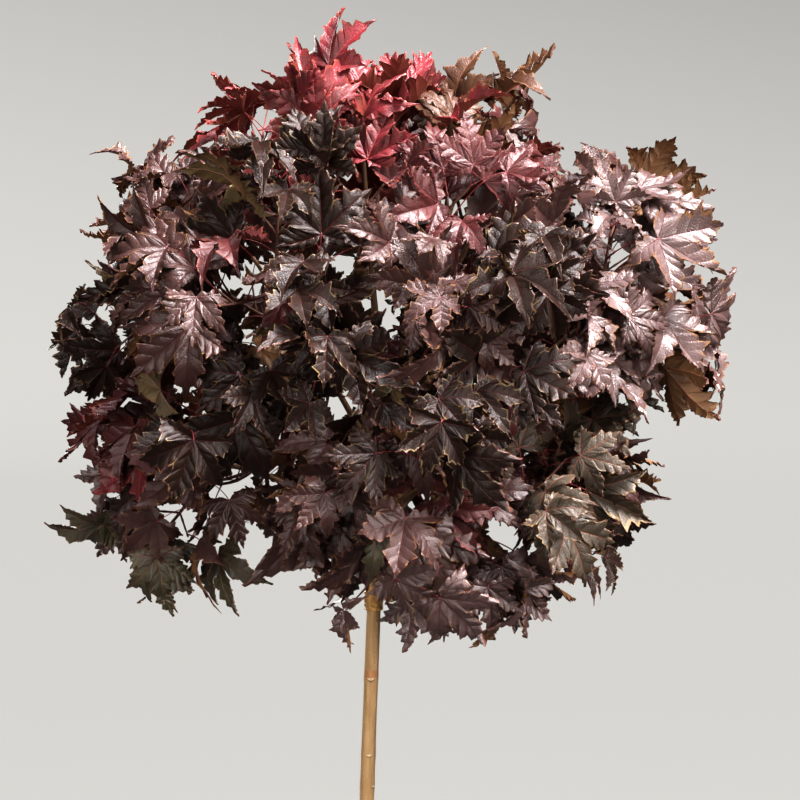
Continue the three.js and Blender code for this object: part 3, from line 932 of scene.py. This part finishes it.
def bark_group():
    """Upright streaks, short crosswise pores and a dull, uneven surface."""
    group, inputs, outputs = new_group(
        "bark_streaks",
        [("Ground", COLOUR), ("Streak", COLOUR), ("Pore", COLOUR)],
        [("Colour", COLOUR), ("Roughness", VALUE), ("Height", VALUE)],
    )
    place = group.nodes.new("ShaderNodeTexCoord").outputs["Object"]
    upright = group.nodes.new("ShaderNodeMapping")
    upright.inputs["Scale"].default_value = (1.0, 1.0, 0.13)
    group.links.new(place, upright.inputs["Vector"])
    crosswise = group.nodes.new("ShaderNodeMapping")
    crosswise.inputs["Scale"].default_value = (1.0, 1.0, 2.6)
    group.links.new(place, crosswise.inputs["Vector"])
    streak = spread_node(group, noise_node(group, upright.outputs[0], 260, 4), 0.4, 0.66, 0.0, 1.0)
    pore = spread_node(group, noise_node(group, crosswise.outputs[0], 240, 1), 0.66, 0.74, 0.0, 1.0)
    streaked = mix_node(group, streak, inputs.outputs["Ground"], inputs.outputs["Streak"])
    group.links.new(mix_node(group, pore, streaked, inputs.outputs["Pore"]), outputs.inputs["Colour"])
    group.links.new(spread_node(group, streak, 0.0, 1.0, 0.55, 0.8), outputs.inputs["Roughness"])
    both = group.nodes.new("ShaderNodeMath")
    both.operation = "ADD"
    group.links.new(streak, both.inputs[0])
    group.links.new(pore, both.inputs[1])
    group.links.new(both.outputs[0], outputs.inputs["Height"])
    return group


def finish(name, group, colours, bump):
    """A material that takes its changing colour, gloss and relief from a shared effect."""
    material = bpy.data.materials.new(name)
    material.use_nodes = True
    tree = material.node_tree
    shader = tree.nodes["Principled BSDF"]
    effect = tree.nodes.new("ShaderNodeGroup")
    effect.node_tree = group
    for label, colour in colours.items():
        effect.inputs[label].default_value = (*colour, 1.0)
    tree.links.new(effect.outputs["Colour"], shader.inputs["Base Color"])
    tree.links.new(effect.outputs["Roughness"], shader.inputs["Roughness"])
    relief = tree.nodes.new("ShaderNodeBump")
    relief.inputs["Strength"].default_value = bump[0]
    relief.inputs["Distance"].default_value = bump[1]
    tree.links.new(effect.outputs["Height"], relief.inputs["Height"])
    tree.links.new(relief.outputs["Normal"], shader.inputs["Normal"])
    return material


leaf_tissue = leaf_tissue_group()
bark_streaks = bark_group()
LEAF_GLOSS = (1.0, 0.96, 0.99, 1.0)


def leaf_finish(name, ground, patch, gloss=0.5):
    material = finish(name, leaf_tissue, {"Ground": ground, "Patch": patch}, (0.35, 0.0006))
    shader = material.node_tree.nodes["Principled BSDF"]
    shader.inputs["Specular Tint"].default_value = LEAF_GLOSS
    shader.inputs["Specular IOR Level"].default_value = gloss
    return material


def bark_finish(name, ground, streak, pore):
    return finish(name, bark_streaks, {"Ground": ground, "Streak": streak, "Pore": pore}, (0.5, 0.0006))


def plain_finish(name, colour):
    """One colour all over, with the leaf's uneven gloss and fine net."""
    material = leaf_finish(name, colour, colour)
    tree = material.node_tree
    shader = tree.nodes["Principled BSDF"]
    tree.links.remove(shader.inputs["Base Color"].links[0])
    shader.inputs["Base Color"].default_value = (*colour, 1.0)
    return material


# Leaf blades and undersides: two colours that meet in soft patches, and how strongly the wax shines.
BLADE_COLOURS = {
    # Darkest blades: a dark leaf colour that also paints shade, dealt to the inner and front masses.
    "dark_and_shade_blades": ((0.016, 0.0078, 0.0058), (0.024, 0.0114, 0.008), 0.3),
    "plum_blades": ((0.048, 0.0215, 0.0195), (0.064, 0.028, 0.0245), 0.5),
    # Paler, glossier blades: a lighter leaf colour that also paints light and sheen, dealt to masses where
    # the lamps fall most, chiefly at the upper right.
    "pale_and_lit_blades": ((0.078, 0.043, 0.041), (0.098, 0.053, 0.049), 0.85),
    "maroon_blades": ((0.066, 0.0145, 0.0155), (0.085, 0.02, 0.0195), 0.5),
    "crimson_blades": ((0.19, 0.021, 0.028), (0.1, 0.022, 0.022), 0.5),
    "bronze_blades": ((0.09, 0.04, 0.021), (0.068, 0.028, 0.017), 0.4),
    "moss_blades": ((0.054, 0.04, 0.029), (0.066, 0.047, 0.034), 0.34),
    "sage_blades": ((0.072, 0.064, 0.036), (0.052, 0.04, 0.028), 0.42),
    "olive_undersides": ((0.18, 0.12, 0.056), (0.14, 0.1, 0.05), 0.35),
    # Undersides lighter orange-brown than the blades: partly their own colour, partly painted light
    # shining through the leaf.
    "umber_and_glow_undersides": ((0.19, 0.092, 0.044), (0.22, 0.115, 0.052), 0.4),
    "russet_undersides": ((0.18, 0.036, 0.029), (0.2, 0.05, 0.034), 0.4),
}
PLAIN_COLOURS = {
    "dark_leaf_veins": (0.085, 0.016, 0.017),
    "young_leaf_veins": (0.42, 0.07, 0.08),
    "bronze_leaf_veins": (0.26, 0.08, 0.04),
    "under_veins": (0.28, 0.1, 0.06),
    "dark_leaf_rims": (0.08, 0.027, 0.02),
    "young_leaf_rims": (0.3, 0.06, 0.055),
    "bronze_leaf_rims": (0.13, 0.06, 0.034),
    "red_stalks": (0.2, 0.02, 0.024),
    "young_stalks": (0.32, 0.05, 0.04),
}
YOUNG_PIECES = ["crimson_blades", "young_leaf_veins", "young_leaf_rims", "young_stalks"]


def tint(age, blade, under, stalk="red_stalks"):
    vein, rim = f"{age}_leaf_veins", f"{age}_leaf_rims"
    return {"blade": blade, "under": under, "vein": vein, "rim": rim, "stalk": stalk}


TINTS = {
    "night": tint("dark", "dark_and_shade_blades", "olive_undersides"),
    "plum": tint("dark", "plum_blades", "umber_and_glow_undersides"),
    "lilac": tint("dark", "pale_and_lit_blades", "umber_and_glow_undersides"),
    "maroon": tint("dark", "maroon_blades", "russet_undersides"),
    "crimson": tint("young", "crimson_blades", "russet_undersides", "young_stalks"),
    "bronze": tint("bronze", "bronze_blades", "umber_and_glow_undersides"),
    "moss": tint("bronze", "moss_blades", "olive_undersides"),
    "sage": tint("bronze", "sage_blades", "olive_undersides"),
}
# Tints of the other masses, drawn by chance; the darkest one partly paints shade within the head.
COMMON_TINTS = ["night", "plum", "night", "plum", "maroon"]
# Tints of a mass's four sprays and of the leaves on its own stem, where the young or bronzed ones show.
# The darkest tint also paints shade on the inner and front masses, and the pale one paints light and sheen
# where the lamps fall most.
SPRAY_TINTS = {
    "top_left": "crimson maroon crimson crimson crimson",
    "top_right": "maroon crimson bronze plum maroon",
    "upper_left": "plum plum crimson plum maroon",
    "upper_front_left": "plum night night plum maroon",
    "upper_front_right": "plum plum maroon night maroon",
    "upper_right": "lilac lilac plum lilac bronze",
    "middle_left": "plum night plum night maroon",
    "middle_front_left": "bronze night plum night maroon",
    "middle_front_right": "night night plum night maroon",
    "middle_right": "lilac bronze lilac lilac plum",
    "lower_left": "lilac plum maroon sage crimson",
    "lower_front_left": "plum maroon plum lilac sage",
    "lower_front_right": "plum maroon moss lilac plum",
    "lower_right": "plum bronze moss night bronze",
}


def spray_tint(pose):
    mass, twig = pose["mass"], pose["slot"]["twig"]
    while twig is not None and "twig" in twig:
        twig = twig["twig"]
    key = -1 if twig is None else twig["key"]
    if mass.name in SPRAY_TINTS:
        return SPRAY_TINTS[mass.name].split()[key]
    return COMMON_TINTS[int(stream(mass.index, 9000 + key)() * len(COMMON_TINTS))]


leaf_nodes = [f"leaves_{mass.name}" for mass in masses]
bough_nodes = [f"bough_{mass.name}" for mass in masses if not mass.on_leader]
nets = [LeafNet(number) for number in range(LEAF_NETS)]
gathered = {}


# Finishes of the pieces that the tree is joined into.
def leaf_pieces():
    pieces = {}
    for name, (ground, patch, gloss) in BLADE_COLOURS.items():
        pieces[name] = (leaf_finish(name, ground, patch, gloss), leaf_nodes, "purple_leaf")
    for name, colour in PLAIN_COLOURS.items():
        pieces[name] = (plain_finish(name, colour), leaf_nodes, "purple_leaf")
    for name in YOUNG_PIECES:
        pieces[name] = (*pieces[name][:2], "young_leaf")
    return pieces


PIECES = leaf_pieces()
bough_bark = bark_finish("bough_bark", (0.17, 0.09, 0.045), (0.25, 0.14, 0.075), (0.36, 0.24, 0.14))
twig_bark = bark_finish("twig_bark", (0.11, 0.04, 0.03), (0.16, 0.065, 0.04), (0.3, 0.17, 0.1))
PIECES["boughs"] = (bough_bark, bough_nodes, "bough_bark")
PIECES["twigs"] = (twig_bark, leaf_nodes, "bough_bark")
PIECES["buds"] = (plain_finish("bud_scales", (0.13, 0.025, 0.025)), leaf_nodes, "bough_bark")
STEM_FINISHES = {
    "bark": bark_finish("stem_bark", (0.33, 0.205, 0.092), (0.27, 0.16, 0.07), (0.43, 0.3, 0.165)),
    "ring": bark_finish("ring_scar", (0.29, 0.13, 0.05), (0.35, 0.175, 0.07), (0.2, 0.085, 0.035)),
    "callus": bark_finish("graft_callus", (0.4, 0.22, 0.06), (0.24, 0.115, 0.034), (0.5, 0.32, 0.11)),
    "scar": bark_finish("bud_scar_cork", (0.66, 0.54, 0.38), (0.5, 0.37, 0.22), (0.72, 0.62, 0.46)),
    # Dark brown of the lens under each bud scar: a painted shadow.
    "crease": bark_finish("scar_painted_shadow", (0.12, 0.06, 0.028), (0.18, 0.09, 0.04), (0.08, 0.04, 0.02)),
}


def gather(name):
    return gathered.setdefault(name, Gather())


for number, pose in enumerate(leaves):
    net = nets[number % LEAF_NETS]
    parts = TINTS[spray_tint(pose)]
    upper, lower = leaf_surfaces(net, pose, number)
    rho, theta = net.facts[:, 0], net.facts[:, 1]
    cell = np.stack([-rho * np.sin(theta) / 0.78, (rho * np.cos(theta) - 0.32) / 0.78], axis=1)
    for kind in ("vein", "blade", "rim"):
        used, ends = net.faces[kind]
        gather(parts[kind]).add(upper[used], ends, cell[used] if kind == "blade" else None)
    used, ends = net.faces["under"]
    gather(parts["under"]).add(lower[used], ends[:, ::-1], cell[used])
    used, ends = net.faces["under_vein"]
    gather("under_veins").add(lower[used], ends[:, ::-1])
    gather(parts["stalk"]).add(*stalk_form(pose))

for mass in masses:
    gather("boughs").add(*bough_form(mass))
    for twig in mass.twigs:
        gather("twigs").add(*twig_form(mass, twig, DRAWN_TWIG_RADIUS))
        gather("buds").add(*bud_form(mass, twig, BUD_SIZE))
    for shoot in mass.shoots:
        gather("twigs").add(*twig_form(mass, shoot, SHOOT_RADIUS))
        gather("buds").add(*bud_form(mass, shoot, 0.75 * BUD_SIZE))

for name, forms in gathered.items():
    material, nodes, slot = PIECES[name]
    joined_mesh(name, forms, material, nodes)

stem_forms = {kind: Gather() for kind in STEM_FINISHES}
stem_points, stem_kinds = stem_loft()
for kind, faces in stem_kinds.items():
    stem_forms[kind].add(*only_used(stem_points, faces))
for number in range(GRAFT_CRUMBS):
    stem_forms["callus"].add(*graft_crumb(number))
for height, azimuth, half_width in BUD_SCARS:
    stem_forms["scar"].add(*bud_scar(height, azimuth, half_width, SCAR_RISE))
    # A dark lens just below each scar paints the shadow beneath it.
    crease = bud_scar(height - PAINTED_SHADOW_DROP, azimuth, PAINTED_SHADOW_SIZE * half_width, PAINTED_SHADOW_RISE)
    stem_forms["crease"].add(*crease)
for kind, material in STEM_FINISHES.items():
    joined_mesh(f"stem_{kind}", stem_forms[kind], material, ["trunk"])


# Round pale sweep, floor and wall in one. It throws no light back, so the hollows of the head stay dark.
FLOOR_RADIUS = 11.0
BEND_RADIUS = 5.0
WALL_HEIGHT = 8.0


def add_stage():
    profile = [(0.01, 0.0), (4.0, 0.0), (FLOOR_RADIUS, 0.0)]
    for step in range(1, 17):
        turn = math.pi / 2 * step / 16
        out, rise = math.sin(turn), 1 - math.cos(turn)
        profile.append((FLOOR_RADIUS + BEND_RADIUS * out, BEND_RADIUS * rise))
    profile.append((FLOOR_RADIUS + BEND_RADIUS, WALL_HEIGHT))
    sides = 96
    points = []
    for radius, height in profile:
        for k in range(sides):
            turn = 2 * math.pi * k / sides
            points.append((radius * math.cos(turn), radius * math.sin(turn), height))
    mesh = bpy.data.meshes.new("studio_sweep")
    mesh.from_pydata(points, [], side_faces(range(len(profile) - 1), sides))
    mesh.shade_smooth()
    material = bpy.data.materials.new("studio_paper")
    material.use_nodes = True
    shader = material.node_tree.nodes["Principled BSDF"]
    looks = {
        "Base Color": (0.14, 0.14, 0.137, 1),
        "Roughness": 0.9,
        "Specular IOR Level": 0.1,
        "Emission Color": (1.0, 1.0, 0.97, 1),
        "Emission Strength": 0.06,
    }
    for label, value in looks.items():
        shader.inputs[label].default_value = value
    mesh.materials.append(material)
    sweep = bpy.data.objects.new("studio_sweep", mesh)
    sweep.visible_shadow = False
    sweep.visible_diffuse = False
    sweep.visible_glossy = False
    scene.collection.objects.link(sweep)


def hang_lamp(name, data, place, aim):
    lamp = bpy.data.objects.new(name, data)
    lamp.location = place
    lamp.rotation_euler = (Vector(aim) - Vector(place)).to_track_quat("-Z", "Y").to_euler()
    scene.collection.objects.link(lamp)


def add_soft_lamp(name, place, aim, size, spread_angle, power, colour):
    data = bpy.data.lights.new(name, "AREA")
    data.size = size
    data.spread = math.radians(spread_angle)
    data.energy = power
    data.color = colour
    hang_lamp(name, data, place, aim)


def add_sun(name, place, aim, width, strength, colour):
    data = bpy.data.lights.new(name, "SUN")
    data.angle = math.radians(width)
    data.energy = strength
    data.color = colour
    hang_lamp(name, data, place, aim)


add_stage()
# A soft sun at the right, a lamp above, fills at both front sides and behind, a narrow lamp for the stem.
HEAD = (0.06, 0.0, 1.42)
add_sun("key_sun", (1.4, -0.7, 3.85), HEAD, 32, 9.5, (1.0, 0.98, 0.96))
add_soft_lamp("overhead_lamp", (0.2, -0.5, 3.8), HEAD, 1.2, 180, 50, (0.98, 0.98, 1.0))
add_soft_lamp("fill_lamp", (-1.1, -2.6, 1.8), (0.06, 0.0, 1.3), 1.6, 180, 30, (1.0, 0.95, 0.88))
add_soft_lamp("side_lamp", (2.0, -1.7, 1.7), (0.15, 0.0, 1.3), 1.0, 180, 40, (1.0, 0.96, 0.91))
add_soft_lamp("back_lamp", (-0.9, 2.9, 1.7), (0.03, 0.0, 1.1), 1.8, 180, 60, (1.0, 0.97, 0.93))
add_soft_lamp("stem_lamp", (-1.1, -2.2, 0.5), (0.0, 0.0, 0.7), 0.4, 30, 1.2, (1.0, 0.95, 0.88))
world = bpy.data.worlds.new("studio_air")
world.use_nodes = True
air = world.node_tree.nodes["Background"].inputs
air["Color"].default_value = (0.9, 0.9, 0.9, 1)
air["Strength"].default_value = 0.05
scene.world = world
scene.view_settings.view_transform = "Standard"
scene.view_settings.exposure = 0.72
scene.view_settings.gamma = 0.86
